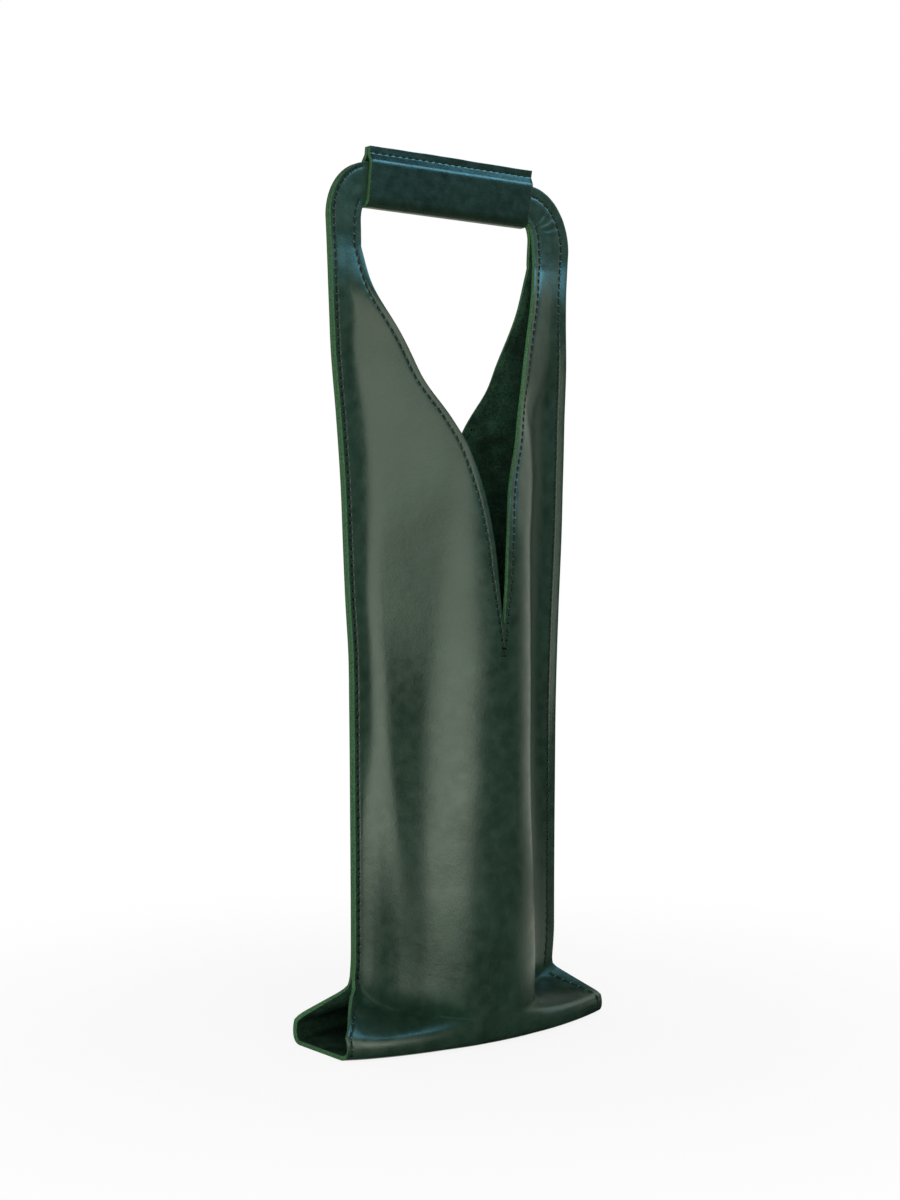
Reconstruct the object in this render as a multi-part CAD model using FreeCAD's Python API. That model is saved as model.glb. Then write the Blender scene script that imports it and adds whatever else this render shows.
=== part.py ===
# Leather bottle carrier: one folded strip of hide, sewn up both sides, with a wrapped grip.
#
# Millimetres. X runs across the carrier, the front faces -Y, +Z is up, and the origin is the
# middle of the flat base. The hide is one strip that runs down the front, under the base and up
# the back. It is modelled as a base channel, two pouch panels and two handle loops, which meet
# face to face, apart from the flex line across the straps, where the handle leans.

import FreeCAD
import Part

import math
import os

Vector = FreeCAD.Vector

# Leather
leather = 2.0
layer_gap = 0.2
strip_width = 138.0

# Handle loop
bar_top = 392.5
bar_height = 18.0
handle_corner = 26.0

# Flex line across the straps, below the top of the bar
handle_height = 52.0
flex_gap = 0.7

# Mouth: a hand window that runs down into a narrow V
mouth_bottom = 184.5
strap_width = 19.0
mouth_shift = -3.0
window_corner = 2.0
strap_straight = 20.0

# Pouch walls, measured on the inner face
pouch_radius = 36.5
flange_width = 7.0
fork_height = 24.5

# Base channel and the flared, unsewn ends above it
base_bulge_radius = 105.0
base_valley_radius = 12.3846
base_wall_height = 10.5
base_turn = 6.0

# Grip wrap round both top bars, between the window's corners
grip_end_gap = 0.3
grip_clearance = 0.2
grip_fin_height = 5.2
grip_shoulder_round = 1.8
grip_fin_round = 0.9

# Thread
thread_radius = 0.4
stitch_pitch = 3.75
stitch_opening = 0.8
thread_lift = 0.1
seam_margin = 3.6
grip_seam_drop = 3.6
seam_end_gap = 3.0
tack_width = 5.0
tack_rows = 3
tack_spacing = 1.2

# Shared by every cut that has to pass right through
overrun = 20.0

# The side edges stand out from the pouch by this share of the hide left over beside it.
seam_reach_share = 0.67

# Pouch stations, from the fork to the flex line. Each row gives the shares of the height between
# the two, of the step from pouch_half_span to half the strip, of pouch_radius as bulge depth, of
# pouch_bulge_radius as bulge radius, and of the distance from crown to flange as straight ramp.
pouch_station_shares = [
    (0.0, 0.0, 1.0, 1.0, 0.4),
    (0.08, 0.0, 1.0, 1.0, 0.4),
    (0.26, 0.03, 1.0, 1.0, 0.4),
    (0.46, 0.1, 1.0, 1.0, 0.42),
    (0.55, 0.25, 0.99, 1.0, 0.44),
    (0.64, 0.38, 0.95, 0.95, 0.5),
    (0.72, 0.48, 0.84, 0.85, 0.6),
    (0.81, 0.63, 0.75, 0.7, 0.72),
    (0.9, 0.84, 0.58, 0.6, 0.85),
    (1.0, 1.0, 0.06, 0.6, 0.98),
]
base_ramp_share = 0.5
pouch_bulge_share = 1.013455
loft_stations = 29

# Flare station between the base channel and the fork: shares of the way up, of the narrowing and
# of the closing of the edges, and the bulge's share of its radius and the valley's together.
flare_share = 0.5
flare_span_share = 0.5
flare_depth_share = 0.5
flare_bulge_share = 0.782712

# One side of the mouth, from the tip of the V to the foot of the straight strap: shares of
# mouth_half_width, of the height of the V and of mouth_shift.
mouth_side_shares = [
    (0.0, 0.0, 0.0),
    (0.04, 0.105, 0.0),
    (0.085, 0.24, 0.0),
    (0.218, 0.394, 0.0),
    (0.448, 0.562, 0.0),
    (0.676, 0.727, 0.05),
    (0.91, 0.888, 0.4),
    (1.0, 1.0, 1.0),
]
mouth_samples = 120

front = -1
back = 1
left = -1
right = 1

# Worked out from the sizes above
half_width = strip_width / 2
mouth_half_width = half_width - strap_width
pouch_half_span = pouch_radius + seam_reach_share * (half_width - pouch_radius)
pouch_bulge_radius = pouch_bulge_share * (pouch_half_span - flange_width) ** 2 / (2 * pouch_radius)
base_reach = half_width - flange_width
base_radii = base_bulge_radius + base_valley_radius
base_fall = base_radii - math.sqrt(base_radii**2 - (1 - base_ramp_share**2) * base_reach**2)
base_end_depth = pouch_radius - base_fall
bar_bottom = bar_top - bar_height
flex_height = bar_top - handle_height
face_depth = layer_gap / 2
outer_depth = face_depth + leather
flex_round = leather + layer_gap
strap_foot = bar_bottom - strap_straight
grip_length = 2 * (mouth_half_width - window_corner - grip_end_gap)
grip_start = mouth_shift - grip_length / 2
grip_end = mouth_shift + grip_length / 2


def radii_sum(reach, rise, ramp):
    """Bulge and valley radius together, for a wall with this ramp that rises over this reach."""
    return (reach**2 + rise**2 - ramp**2) / (2 * rise)


class Station:
    """One level cross-section of a wall: flange, valley, ramp, bulge, and the same mirrored."""

    def __init__(self, height, half_span, edge_depth, bulge_depth, bulge_radius, ramp_share):
        self.height = height
        self.half_span = half_span
        self.edge_depth = edge_depth
        self.flange_end = half_span - flange_width
        self.bulge_radius = bulge_radius
        rise = bulge_depth - edge_depth
        ramp = ramp_share * self.flange_end
        radii = radii_sum(self.flange_end, rise, ramp)
        self.valley_radius = radii - bulge_radius
        self.bulge_centre = bulge_depth - bulge_radius
        self.valley_centre = edge_depth + self.valley_radius
        self.slope = math.atan2(self.flange_end, radii - rise) - math.atan2(ramp, radii)

    def valley_point(self, angle, offset):
        radius = self.valley_radius - offset
        x = radius * math.sin(angle) - self.flange_end
        return x, self.valley_centre - radius * math.cos(angle)

    def bulge_point(self, angle, offset):
        radius = self.bulge_radius + offset
        return radius * math.sin(angle), self.bulge_centre + radius * math.cos(angle)

    def left_half(self, offset):
        """Corners and arc middles from the left edge to the crown, offset from the inner face."""
        edge = self.edge_depth + offset
        return [
            (-self.half_span, edge),
            (-self.flange_end, edge),
            self.valley_point(self.slope / 2, offset),
            self.valley_point(self.slope, offset),
            self.bulge_point(-self.slope, offset),
            self.bulge_point(0, offset),
        ]

    def edges(self, offset, side):
        """The wall's path from the left edge to the right edge as lines and arcs."""
        half = self.left_half(offset)
        whole = half + [(-x, y) for x, y in reversed(half[:-1])]
        p = [Vector(x, side * y, self.height) for x, y in whole]
        return [
            Part.LineSegment(p[0], p[1]).toShape(),
            Part.Arc(p[1], p[2], p[3]).toShape(),
            Part.LineSegment(p[3], p[4]).toShape(),
            Part.Arc(p[4], p[5], p[6]).toShape(),
            Part.LineSegment(p[6], p[7]).toShape(),
            Part.Arc(p[7], p[8], p[9]).toShape(),
            Part.LineSegment(p[9], p[10]).toShape(),
        ]

    def wire(self, side):
        """The closed outline of the wall at this level."""
        outer = self.edges(leather, side)
        inner = self.edges(0, side)
        end = Part.LineSegment(outer[-1].Vertexes[-1].Point, inner[-1].Vertexes[-1].Point)
        start = Part.LineSegment(inner[0].Vertexes[0].Point, outer[0].Vertexes[0].Point)
        return Part.Wire(outer + [end.toShape()] + inner[::-1] + [start.toShape()])

    def depth_at(self, x):
        """Depth of the outer face at x."""
        across = abs(x)
        _, _, _, valley_end, ramp_end, _ = self.left_half(leather)
        if across >= self.flange_end:
            return self.edge_depth + leather
        if across >= -valley_end[0]:
            radius = self.valley_radius - leather
            return self.valley_centre - math.sqrt(radius**2 - (self.flange_end - across) ** 2)
        if across >= -ramp_end[0]:
            return ramp_end[1] - (across + ramp_end[0]) * math.tan(self.slope)
        radius = self.bulge_radius + leather
        return self.bulge_centre + math.sqrt(radius**2 - across**2)


def smooth_over(heights, values):
    """A curve whose X is the value at a height; the height is also its parameter."""
    curve = Part.BSplineCurve()
    points = [Vector(value, 0, height) for height, value in zip(heights, values)]
    curve.interpolate(Points=points, Parameters=heights)
    return curve


def pouch_curves():
    """Half span, bulge depth, bulge radius and ramp share over the height of the pouch."""
    height_shares, span_shares, depth_shares, radius_shares, ramp_shares = zip(*pouch_station_shares)
    heights = [fork_height + share * (flex_height - fork_height) for share in height_shares]
    widening = half_width - pouch_half_span
    return [
        smooth_over(heights, [pouch_half_span + share * widening for share in span_shares]),
        smooth_over(heights, [share * pouch_radius for share in depth_shares]),
        smooth_over(heights, [share * pouch_bulge_radius for share in radius_shares]),
        smooth_over(heights, ramp_shares),
    ]


span_curve, bulge_curve, radius_curve, ramp_curve = pouch_curves()


def pouch_station(height):
    return Station(
        height,
        span_curve.value(height).x,
        face_depth,
        bulge_curve.value(height).x,
        radius_curve.value(height).x,
        ramp_curve.value(height).x,
    )


def flare_stations():
    """The unsewn stretch: base channel, half way, fork."""
    fork = pouch_station(fork_height)
    base = Station(
        base_wall_height,
        half_width,
        base_end_depth,
        pouch_radius,
        base_bulge_radius,
        base_ramp_share,
    )
    span = half_width + flare_span_share * (fork.half_span - half_width)
    depth = base_end_depth + flare_depth_share * (face_depth - base_end_depth)
    ramp_share = (base_ramp_share + pouch_station_shares[0][-1]) / 2
    reach = span - flange_width
    radii = radii_sum(reach, pouch_radius - depth, ramp_share * reach)
    middle = Station(
        base_wall_height + flare_share * (fork_height - base_wall_height),
        span,
        depth,
        pouch_radius,
        flare_bulge_share * radii,
        ramp_share,
    )
    return [base, middle, fork]


def mouth_point(shares, side):
    width_share, height_share, shift_share = shares
    x = side * width_share * mouth_half_width + shift_share * mouth_shift
    return Vector(x, 0, mouth_bottom + height_share * (strap_foot - mouth_bottom))


def mouth_side(side):
    """The curved edge from the tip of the V to the foot of the strap."""
    curve = Part.BSplineCurve()
    curve.interpolate([mouth_point(shares, side) for shares in mouth_side_shares])
    return curve


def window_points(side):
    """Strap foot, start and end of the rounded top corner."""
    x = side * mouth_half_width + mouth_shift
    return (
        Vector(x, 0, strap_foot),
        Vector(x, 0, bar_bottom - window_corner),
        Vector(x - side * window_corner, 0, bar_bottom),
    )


def window_arc(side):
    _, start, end = window_points(side)
    centre = Vector(end.x, 0, start.z)
    middle = centre + Vector(side, 0, 1).normalize() * window_corner
    return Part.Arc(start, middle, end)


def mouth_cutter():
    """The mouth and hand window as a prism through front and back."""
    edges = []
    for side in (left, right):
        foot, corner_start, _ = window_points(side)
        edges.append(mouth_side(side).toShape())
        edges.append(Part.LineSegment(foot, corner_start).toShape())
        edges.append(window_arc(side).toShape())
    edges.append(Part.LineSegment(window_points(left)[2], window_points(right)[2]).toShape())
    wire = Part.Wire(Part.__sortEdges__(edges))
    depth = pouch_radius + leather + overrun
    prism = Part.Face(wire).extrude(Vector(0, 2 * depth, 0))
    prism.translate(Vector(0, -depth, 0))
    return prism


def flex_cutter(direction):
    """Rounds a strap's end where it meets the flex line from above (1) or below (-1)."""
    width = strip_width + 2 * overrun
    depth = 2 * (pouch_radius + overrun)
    centre = flex_height + direction * (flex_gap / 2 + flex_round)
    reach = overrun + flex_gap + flex_round
    low = centre - reach if direction > 0 else centre
    box = Part.makeBox(width, depth, reach, Vector(-width / 2, -depth / 2, low))
    axis_start = Vector(-width / 2, 0, centre)
    return box.cut(Part.makeCylinder(flex_round, width, axis_start, Vector(1, 0, 0)))


def pouch_panel(side):
    """One wall of the pouch with its flared foot and its half of the mouth."""
    step = (flex_height - fork_height) / (loft_stations - 1)
    levels = [pouch_station(fork_height + i * step) for i in range(loft_stations)]
    upper = Part.makeLoft([s.wire(side) for s in levels], True, False)
    flare = Part.makeLoft([s.wire(side) for s in flare_stations()], True, True)
    panel = upper.fuse(flare).removeSplitter()
    return panel.cut(mouth_cutter()).cut(flex_cutter(-1))


def base_panel():
    """The strip's turn under the carrier: a flat floor between two low walls, open at the ends."""
    base = flare_stations()[0]
    front_path = base.edges(leather, front)
    back_path = base.edges(leather, back)
    ends = []
    for end in (0, -1):
        start = front_path[end].Vertexes[end].Point
        finish = back_path[end].Vertexes[end].Point
        ends.append(Part.LineSegment(start, finish).toShape())
    outline = Part.Wire(Part.__sortEdges__(front_path + back_path + ends))
    floor = Part.Face(outline).extrude(Vector(0, 0, -leather))
    floor.translate(Vector(0, 0, leather - base_wall_height))
    walls = [
        Part.Face(base.wire(side)).extrude(Vector(0, 0, leather - base_wall_height))
        for side in (front, back)
    ]
    channel = floor.fuse(walls).removeSplitter()
    inner = [e for e in channel.Edges if runs_along(e, leather, base.edges(0, front))]
    channel = channel.makeFillet(base_turn - leather, inner)
    outer = [e for e in channel.Edges if runs_along(e, 0, base.edges(leather, front))]
    return channel.makeFillet(base_turn, outer)


def runs_along(edge, height, path):
    """True for an edge at that height that lies on the path or on its mirror image."""
    box = edge.BoundBox
    level = max(abs(box.ZMin - height), abs(box.ZMax - height))
    middle = edge.valueAt((edge.FirstParameter + edge.LastParameter) / 2)
    probe = Part.Vertex(Vector(middle.x, -abs(middle.y), base_wall_height))
    distance = probe.distToShape(Part.Wire(path))[0]
    return max(level, distance) < layer_gap


def handle_loop(side):
    """One layer of the straps and top bar, flat above the flex line."""
    low = flex_height
    width = strip_width
    plate = Part.makeBox(width, leather, bar_top - low, Vector(-half_width, 0, low))
    plate.translate(Vector(0, face_depth if side == back else -outer_depth, 0))
    corners = []
    for edge in plate.Edges:
        box = edge.BoundBox
        along_y = box.YLength > max(box.XLength, box.ZLength)
        if along_y and box.ZMin > low:
            corners.append(edge)
    plate = plate.makeFillet(handle_corner, corners)
    return plate.cut(mouth_cutter()).cut(flex_cutter(1))


def grip_wrap():
    """A band of hide round both bars, its two edges sewn together in a fin along the top."""
    hollow_depth = outer_depth + grip_clearance
    hollow_top = bar_top + grip_clearance
    hollow_bottom = bar_bottom - grip_clearance
    wrap_depth = hollow_depth + leather
    shoulder = hollow_top + leather
    wrap_bottom = hollow_bottom - leather
    fin_top = shoulder + grip_fin_height
    body = Part.makeBox(
        grip_length,
        2 * wrap_depth,
        shoulder - wrap_bottom,
        Vector(grip_start, -wrap_depth, wrap_bottom),
    )
    fin = Part.makeBox(
        grip_length,
        2 * outer_depth,
        fin_top - shoulder,
        Vector(grip_start, -outer_depth, shoulder),
    )
    wrap = body.fuse(fin).removeSplitter()
    wrap = wrap.makeFillet(wrap_depth - leather, edges_along_x(wrap, wrap_bottom, wrap_depth))
    wrap = wrap.makeFillet(grip_shoulder_round, edges_along_x(wrap, shoulder, wrap_depth))
    wrap = wrap.makeFillet(grip_fin_round, edges_along_x(wrap, shoulder, outer_depth))
    hollow = Part.makeBox(
        grip_length,
        2 * hollow_depth,
        hollow_top - hollow_bottom,
        Vector(grip_start, -hollow_depth, hollow_bottom),
    )
    slit = Part.makeBox(
        grip_length,
        layer_gap,
        fin_top - hollow_top,
        Vector(grip_start, -face_depth, hollow_top),
    )
    return wrap.cut(hollow).cut(slit)


def edges_along_x(shape, height, depth):
    """Edges that run along X at that height and at that depth, front or back."""
    found = []
    for edge in shape.Edges:
        box = edge.BoundBox
        along_x = box.XLength > max(box.YLength, box.ZLength)
        off = max(abs(box.Center.z - height), abs(abs(box.Center.y) - depth))
        if along_x and off < layer_gap:
            found.append(edge)
    return found


def evenly(points, pitch):
    """Points about one pitch apart along a polyline, both ends included."""
    lengths = [a.distanceToPoint(b) for a, b in zip(points, points[1:])]
    total = sum(lengths)
    count = max(1, round(total / pitch))
    picked = [points[0]]
    covered = 0
    for start, end, length in zip(points, points[1:], lengths):
        while len(picked) < count and covered + length >= len(picked) * total / count:
            share = (len(picked) * total / count - covered) / length
            picked.append(start + (end - start) * share)
        covered += length
    return picked + [points[-1]]


def bar_between(start, end):
    """One visible stitch between two needle holes."""
    run = end - start
    trim = stitch_opening / 2
    direction = Vector(run).normalize()
    return Part.makeCylinder(thread_radius, run.Length - 2 * trim, start + direction * trim, direction)


def stitches(points):
    holes = evenly(points, stitch_pitch)
    return [bar_between(a, b) for a, b in zip(holes, holes[1:])]


def on_face(x, depth, height, side):
    """A point of the thread's centre line, just proud of the leather's outer face."""
    return Vector(x, side * (depth + thread_lift), height)


def side_seam(end):
    """Front and back stitches of one side seam, from above the fork to the flex line."""
    low = fork_height + seam_end_gap
    high = flex_height - flex_gap - flex_round
    step = (high - low) / loft_stations
    solids = []
    for side in (front, back):
        path = []
        for i in range(loft_stations + 1):
            height = low + i * step
            x = end * (pouch_station(height).half_span - seam_margin)
            path.append(on_face(x, outer_depth, height, side))
        solids += stitches(path)
    return Part.makeCompound(solids)


def bar_tack(end):
    """Short cross stitches that lock the lower end of a side seam."""
    solids = []
    for side in (front, back):
        for row in range(tack_rows):
            height = fork_height + seam_end_gap - thread_radius - (row + 1) * tack_spacing / 2
            x = end * (pouch_station(fork_height).half_span - seam_margin)
            offset = Vector(tack_width / 2, 0, 0)
            middle = on_face(x, outer_depth, height - row * tack_spacing / 2, side)
            solids.append(bar_between(middle - offset, middle + offset))
    return Part.makeCompound(solids)


def flare_seam(end):
    """Edge stitches on the unsewn stretch of both walls, from the bar tack to the base channel."""
    base, middle, fork = flare_stations()
    solids = []
    for side in (front, back):
        path = [
            on_face(end * (s.half_span - seam_margin), s.edge_depth + leather, s.height, side)
            for s in (base, middle, fork)
        ]
        top_clear = (path[1] - path[2]).normalize() * (tack_rows * tack_spacing)
        solids += stitches([path[0], path[1], path[2] + top_clear])
    return Part.makeCompound(solids)


def mouth_margin(side):
    """The stitch line beside one edge of the mouth, from below the V up to the bar."""
    curve = mouth_side(side)
    path = []
    for i in range(mouth_samples + 1):
        place = curve.FirstParameter + i * (curve.LastParameter - curve.FirstParameter) / mouth_samples
        tangent = curve.tangent(place)[0]
        outward = Vector(side * abs(tangent.z), 0, -side * tangent.x)
        point = curve.value(place) + outward.normalize() * seam_margin
        if side * point.x > thread_radius + stitch_opening / 2:
            path.append(point)
    path.append(Vector(path[-1].x, 0, bar_bottom - seam_margin))
    return path


def mouth_seam(side, low, high, depth_at):
    """Stitches beside both edges of the mouth, between two heights, on one layer."""
    solids = []
    for end in (left, right):
        path = [p for p in mouth_margin(end) if low <= p.z <= high]
        solids += stitches([on_face(p.x, depth_at(p), p.z, side) for p in path])
    return Part.makeCompound(solids)


def pouch_depth(point):
    return pouch_station(point.z).depth_at(point.x)


def handle_depth(_point):
    return outer_depth


def handle_seam(end):
    """Stitches up one strap, round its corner and along the bar to the grip."""
    inset = half_width - seam_margin
    arc_radius = handle_corner - seam_margin
    centre = Vector(end * (half_width - handle_corner), 0, bar_top - handle_corner)
    low = flex_height + flex_gap + flex_round
    grip_edge = grip_start if end == left else grip_end
    path = [Vector(end * inset, 0, low), Vector(end * inset, 0, centre.z)]
    for i in range(1, loft_stations + 1):
        angle = math.pi / 2 * i / loft_stations
        x = centre.x + end * arc_radius * math.cos(angle)
        if end * (x - grip_edge) > thread_radius:
            path.append(Vector(x, 0, centre.z + arc_radius * math.sin(angle)))
    if end * (centre.x - grip_edge) > thread_radius:
        path.append(Vector(grip_edge + end * thread_radius, 0, bar_top - seam_margin))
    solids = []
    for side in (front, back):
        solids += stitches([on_face(p.x, outer_depth, p.z, side) for p in path])
    return Part.makeCompound(solids)


def grip_seam():
    """Stitches through the grip's fin, on both faces."""
    fin_top = bar_top + grip_clearance + leather + grip_fin_height
    height = fin_top - grip_seam_drop
    inset = thread_radius + stitch_opening
    solids = []
    for side in (front, back):
        start = on_face(grip_start + inset, outer_depth, height, side)
        end = on_face(grip_end - inset, outer_depth, height, side)
        solids += stitches([start, end])
    return Part.makeCompound(solids)


def build():
    pouch_low = fork_height
    pouch_high = flex_height - flex_gap - flex_round
    handle_low = flex_height + flex_gap + flex_round
    return {
        "front_panel": pouch_panel(front),
        "back_panel": pouch_panel(back),
        "base_panel": base_panel(),
        "front_handle_loop": handle_loop(front),
        "back_handle_loop": handle_loop(back),
        "grip_wrap": grip_wrap(),
        "left_side_seam_thread": side_seam(left),
        "right_side_seam_thread": side_seam(right),
        "left_bar_tack": bar_tack(left),
        "right_bar_tack": bar_tack(right),
        "left_flare_thread": flare_seam(left),
        "right_flare_thread": flare_seam(right),
        "front_mouth_thread": mouth_seam(front, pouch_low, pouch_high, pouch_depth),
        "back_mouth_thread": mouth_seam(back, pouch_low, pouch_high, pouch_depth),
        "left_handle_thread": handle_seam(left),
        "right_handle_thread": handle_seam(right),
        "front_strap_thread": mouth_seam(front, handle_low, bar_bottom, handle_depth),
        "back_strap_thread": mouth_seam(back, handle_low, bar_bottom, handle_depth),
        "grip_seam_thread": grip_seam(),
    }


def main():
    os.makedirs("parts", exist_ok=True)
    for node, shape in build().items():
        shape.exportStep(f"parts/{node}.step")
        print(f"{node}: {len(shape.Solids)} solids, {shape.Volume:.0f} mm3, valid {shape.isValid()}")


main()
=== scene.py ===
import math

import bpy
import numpy as np
from mathutils import Matrix, Vector, noise


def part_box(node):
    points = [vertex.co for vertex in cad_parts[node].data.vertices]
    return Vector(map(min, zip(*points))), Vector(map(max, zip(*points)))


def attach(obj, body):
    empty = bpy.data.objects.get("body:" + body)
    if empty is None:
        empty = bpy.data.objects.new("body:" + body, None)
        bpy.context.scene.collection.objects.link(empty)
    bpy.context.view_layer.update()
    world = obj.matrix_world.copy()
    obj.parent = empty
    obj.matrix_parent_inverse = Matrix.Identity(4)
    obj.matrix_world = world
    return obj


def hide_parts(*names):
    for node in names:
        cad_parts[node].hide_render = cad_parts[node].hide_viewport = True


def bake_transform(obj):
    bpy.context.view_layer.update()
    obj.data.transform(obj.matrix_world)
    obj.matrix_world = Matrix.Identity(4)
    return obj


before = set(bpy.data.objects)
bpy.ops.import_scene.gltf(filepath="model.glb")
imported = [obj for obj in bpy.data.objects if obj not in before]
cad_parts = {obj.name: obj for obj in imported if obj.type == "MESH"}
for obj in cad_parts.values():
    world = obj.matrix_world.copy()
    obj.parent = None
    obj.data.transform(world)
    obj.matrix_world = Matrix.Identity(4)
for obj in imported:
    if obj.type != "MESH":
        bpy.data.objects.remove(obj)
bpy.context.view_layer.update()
mm = 0.001
front, back = -1, 1
left, right = -1, 1

# sizes the strip shares with the solids, in mm
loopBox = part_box("front_handle_loop")
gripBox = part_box("grip_wrap")
halfWidth = loopBox[1][0] / mm
barTop = loopBox[1][2] / mm
print("frame loaded:", len(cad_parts), "nodes")


def clearSelection():
    if bpy.context.mode != "OBJECT":
        bpy.ops.object.mode_set(mode="OBJECT")
    bpy.ops.object.select_all(action="DESELECT")


def makeActive(piece):
    clearSelection()
    piece.select_set(True)
    bpy.context.view_layer.objects.active = piece


def addGrid(name, columns, rows):
    # a flat grid, with the column and row number of each of its points
    clearSelection()
    bpy.ops.mesh.primitive_grid_add(x_subdivisions=columns, y_subdivisions=rows, size=1)
    piece = bpy.context.object
    piece.name = name
    flat = readPoints(piece)
    column = np.rint((flat[:, 0] + 0.5) * columns).astype(int)
    row = np.rint((flat[:, 1] + 0.5) * rows).astype(int)
    return piece, column, row


def readPoints(piece):
    points = np.empty(len(piece.data.vertices) * 3)
    piece.data.vertices.foreach_get("co", points)
    return points.reshape(-1, 3)


def writePoints(piece, points):
    piece.data.vertices.foreach_set("co", points.ravel())
    piece.data.update()


def selectFaces(piece, wanted):
    # leaves the piece in edit mode with only these faces selected
    makeActive(piece)
    bpy.ops.object.mode_set(mode="EDIT")
    bpy.ops.mesh.select_mode(type="FACE")
    bpy.ops.mesh.select_all(action="DESELECT")
    bpy.ops.object.mode_set(mode="OBJECT")
    for face in piece.data.polygons:
        face.select = bool(wanted(face))
    bpy.ops.object.mode_set(mode="EDIT")


def flipNormals(piece):
    makeActive(piece)
    bpy.ops.object.mode_set(mode="EDIT")
    bpy.ops.mesh.select_all(action="SELECT")
    bpy.ops.mesh.flip_normals()


def writeValues(piece, name, values):
    layer = piece.data.attributes.new(name, "FLOAT", "POINT")
    layer.data.foreach_set("value", values.astype(np.float32))


def applyModifiers(piece):
    makeActive(piece)
    for modifier in list(piece.modifiers):
        bpy.ops.object.modifier_apply(modifier=modifier.name)


def ease(value, low, high):
    # 0 below low, 1 above high, smooth between
    share = np.clip((value - low) / (high - low), 0, 1)
    return share * share * (3 - 2 * share)


def band(value, low, full, fade, gone):
    # 0 below low and above gone, 1 from full to fade
    return ease(value, low, full) * (1 - ease(value, fade, gone))


def smoothTable(table, place):
    # a smooth curve through the rows of a table, whose first column is the place
    table = np.asarray(table, float)
    spots = table[:, 0]
    slopes = np.gradient(table[:, 1:], spots, axis=0)
    i = int(np.clip(np.searchsorted(spots, place) - 1, 0, len(spots) - 2))
    gap = spots[i + 1] - spots[i]
    u = np.clip((place - spots[i]) / gap, 0, 1)
    start, end = table[i, 1:], table[i + 1, 1:]
    rise = gap * (u**3 - 2 * u**2 + u) * slopes[i] + gap * (u**3 - u**2) * slopes[i + 1]
    return (2 * u**3 - 3 * u**2 + 1) * start + (3 * u**2 - 2 * u**3) * end + rise


# Strip: one length of hide, folded under the base and sewn up both sides
strip = {
    "thickness": 2.0,
    "layerGap": 0.1,
    "barHeight": 18.0,
    "corner": {left: (22.0, 25.0), right: (25.0, 29.0)},
    "windowHalf": 50.0,
    "windowShift": -3.0,
    "windowCorner": (3.5, 9.0),
    "mouthBottom": 188.0,
    "strapFoot": 354.5,
    "slitHalf": 0.5,
    "flange": 7.0,
    "outerMargin": {left: 1.8, right: 4.6},
    "innerMargin": 3.2,
    "edgeRound": 0.35,
    "edgeShares": [0, 0.25, 0.6, 1.0, 1.4, 1.9, 2.6],  # columns beside an edge, in margins
    "edgeLimit": 0.42,  # the most of the width that they take up beside one edge
    "columns": 20,
    "samples": 400,  # places at which a section is measured, to a little past the crown
    "overrun": 2.0,
    "weld": 0.01,
    "rows": {"base": 87, "pouch": 26, "mouth": 78, "strap": 10, "corner": 34, "bar": 20},
    # height, half span, crown depth, crown radius, straight share of the way from crown to flange,
    # and how far the crown lies from the middle
    "levels": {
        left: [
            (24.5, 58.3, 36.0, 40.7, 0.24, 0),
            (54, 58.3, 36.0, 40.7, 0.24, 0),
            (106, 58.6, 35.5, 40.7, 0.20, 0),
            (150, 59.0, 35.3, 40.5, 0.26, 0),
            (174, 59.4, 35.2, 39.5, 0.40, 0),
            (198, 61.0, 34.8, 38.0, 0.50, 0),
            (226, 62.4, 33.4, 34.0, 0.55, 0),
            (251, 63.4, 30.7, 31.0, 0.60, 0),
            (280, 65.0, 27.4, 25.5, 0.72, 0),
            (308, 66.8, 21.2, 21.9, 0.85, 0),
            (328, 67.2, 22.0, 21.9, 0.84, 0),
            (341, 67.6, 10.0, 21.9, 0.94, 0),
            (354.5, 68.3, 3.5, 21.9, 0.97, 0),
        ],
        right: [
            (24.5, 58.3, 36.0, 34.2, 0.30, 0),
            (54, 58.3, 36.0, 33.0, 0.27, 0),
            (106, 58.6, 35.5, 30.3, 0.25, 0),
            (150, 59.0, 35.3, 30.6, 0.25, 0),
            (190, 60.5, 35.0, 31.0, 0.25, 0),
            (226, 62.4, 33.2, 27.3, 0.20, 3),
            (251, 63.4, 27.0, 29.8, 0.10, 8),
            (267, 64.3, 23.3, 30.0, 0.05, 10.7),
            (280, 65.0, 20.4, 30.0, 0.20, 12),
            (308, 66.8, 16.0, 30.0, 0.70, 12),
            (330, 67.0, 11.5, 30.0, 0.80, 12),
            (343, 67.4, 8.5, 30.0, 0.84, 12),
            (354.5, 68.3, 3.5, 30.0, 0.93, 12),
        ],
    },
    # height, half width of the mouth and how far it lies to the right
    "mouth": [
        (188, 0.5, 0.0),
        (202.5, 2.0, 0.0),
        (225.5, 4.25, 0.2),
        (251.5, 10.0, 1.4),
        (271, 17.3, 2.8),
        (280, 21.0, 2.5),
        (297.5, 29.9, 1.5),
        (308, 33.8, 0.8),
        (335.5, 45.5, -2.0),
        (354.5, 50.0, -3.0),
    ],
    "bowTop": 374.0,  # where the handle loop is flat again
    "bow": {left: 0.055, right: 0.08},
}
faceDepth = strip["layerGap"] / 2 + strip["thickness"]

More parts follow.
